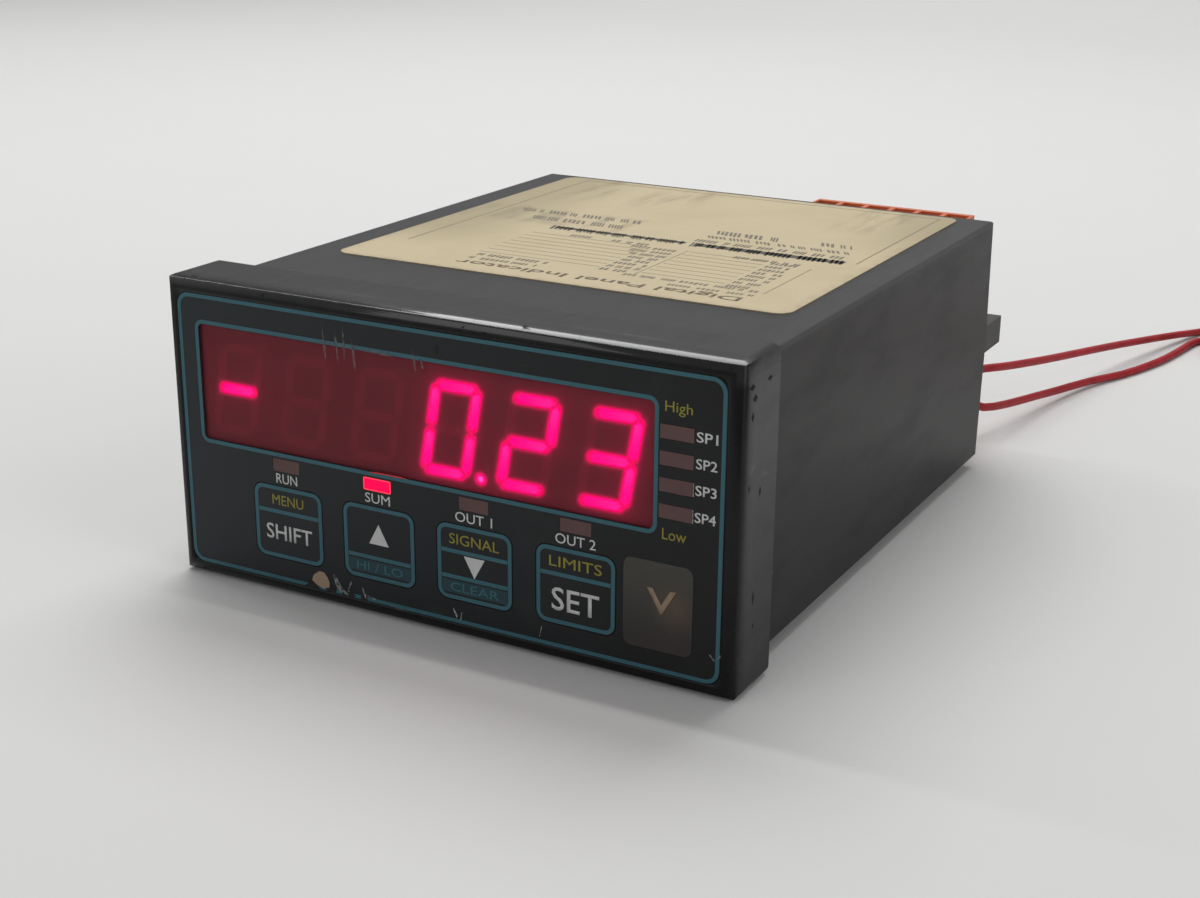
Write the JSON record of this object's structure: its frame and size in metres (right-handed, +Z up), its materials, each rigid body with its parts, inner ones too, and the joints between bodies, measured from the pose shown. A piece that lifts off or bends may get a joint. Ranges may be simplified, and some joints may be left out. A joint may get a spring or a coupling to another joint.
{
  "type": "digital panel meter",
  "caption": "Rectangular panel meter: film front with LED digits, keys and units window, long moulded case, plug-in rear terminals and two red supply wires.",
  "frame": {"origin": "centre of the underside of the meter's own bounding box, without its supply wires and coils, on the surface that the bezel's lower edge rests on", "axes": "+X to the right seen from the front, +Y from the front face to the rear terminals, +Z up"},
  "size_m": [0.1455, 0.25, 0.048],
  "materials": {
    "case_plastic": "moulded black plastic, satin bezel and finely grained sleeve",
    "film_grey": "dark grey printed polyester film with a fine grain",
    "tinted_window": "red tinted filter sheet",
    "smoked_window": "smoked clear sheet",
    "card": "printed legend card",
    "carrier_black": "black moulded carrier",
    "digit_grey": "grey faced display module",
    "led_lit": "lit red segments",
    "led_dark": "milky unlit segments",
    "circuit_board": "green solder mask",
    "black_plastic": "black moulded plastic",
    "potting": "moulded dark blue box",
    "sleeve_blue": "dark blue shrink sleeve",
    "terminal_orange": "orange moulded terminal plastic",
    "plated_steel": "zinc plated steel",
    "switch_metal": "stamped switch cover",
    "relay_blue": "blue moulded relay cover",
    "label_paper": "aged cream label",
    "wire_red": "dark red wire insulation"
  },
  "bodies": {
    "meter": {"case": "case_plastic", "front_overlay": "film_grey", "display_window": "tinted_window", "indicator_windows": "smoked_window", "units_window": "smoked_window", "units_card": "card", "display_carrier": "carrier_black", "digit_1": "digit_grey", "digit_2": "digit_grey", "digit_3": "digit_grey", "digit_4": "digit_grey", "digit_5": "digit_grey", "digit_6": "digit_grey", "segments_lit": "led_lit", "segments_dark": "led_dark", "status_led_1": "led_dark", "status_led_2": "led_lit", "status_led_3": "led_dark", "status_led_4": "led_dark", "alarm_leds": "led_dark", "tact_switch_1": "switch_metal", "tact_switch_2": "switch_metal", "tact_switch_3": "switch_metal", "tact_switch_4": "switch_metal", "display_board": "circuit_board", "power_board": "circuit_board", "signal_board": "circuit_board", "board_links": "black_plastic", "transformer": "potting", "relay_1": "relay_blue", "relay_2": "relay_blue", "relay_3": "relay_blue", "relay_4": "relay_blue", "filter_capacitors": "sleeve_blue", "processor": "black_plastic", "converter_chips": "black_plastic", "relay_header": "terminal_orange", "signal_header": "black_plastic", "supply_header": "terminal_orange", "rear_panel": "case_plastic", "rear_screws": "plated_steel", "top_label": "label_paper"},
    "push_key_1": {"key_1": "film_grey", "plunger_1": "black_plastic"},
    "push_key_2": {"key_2": "film_grey", "plunger_2": "black_plastic"},
    "push_key_3": {"key_3": "film_grey", "plunger_3": "black_plastic"},
    "push_key_4": {"key_4": "film_grey", "plunger_4": "black_plastic"},
    "relay_terminal": {"relay_plug": "terminal_orange", "relay_plug_screws": "plated_steel"},
    "signal_terminal": {"signal_plug": "black_plastic"},
    "supply_terminal": {"supply_plug": "terminal_orange", "supply_plug_screws": "plated_steel", "supply_wire_1": "wire_red", "supply_wire_2": "wire_red", "wire_coil_1": "wire_red", "wire_coil_2": "wire_red"}
  },
  "joints": [
    {"name": "key_1_press", "type": "slide", "parent": "meter", "child": "push_key_1", "axis": [0, 1, 0], "range_m": [0, 0.00035], "stiffness_N_per_m": 1500},
    {"name": "key_2_press", "type": "slide", "parent": "meter", "child": "push_key_2", "axis": [0, 1, 0], "range_m": [0, 0.00035], "stiffness_N_per_m": 1500},
    {"name": "key_3_press", "type": "slide", "parent": "meter", "child": "push_key_3", "axis": [0, 1, 0], "range_m": [0, 0.00035], "stiffness_N_per_m": 1500},
    {"name": "key_4_press", "type": "slide", "parent": "meter", "child": "push_key_4", "axis": [0, 1, 0], "range_m": [0, 0.00035], "stiffness_N_per_m": 1500},
    {"name": "relay_plug_pull", "type": "slide", "parent": "meter", "child": "relay_terminal", "axis": [0, 1, 0], "range_m": [0, 0.012]},
    {"name": "signal_plug_pull", "type": "slide", "parent": "meter", "child": "signal_terminal", "axis": [0, 1, 0], "range_m": [0, 0.012]},
    {"name": "supply_plug_pull", "type": "slide", "parent": "meter", "child": "supply_terminal", "axis": [0, 1, 0], "range_m": [0, 0.012]}
  ]
}
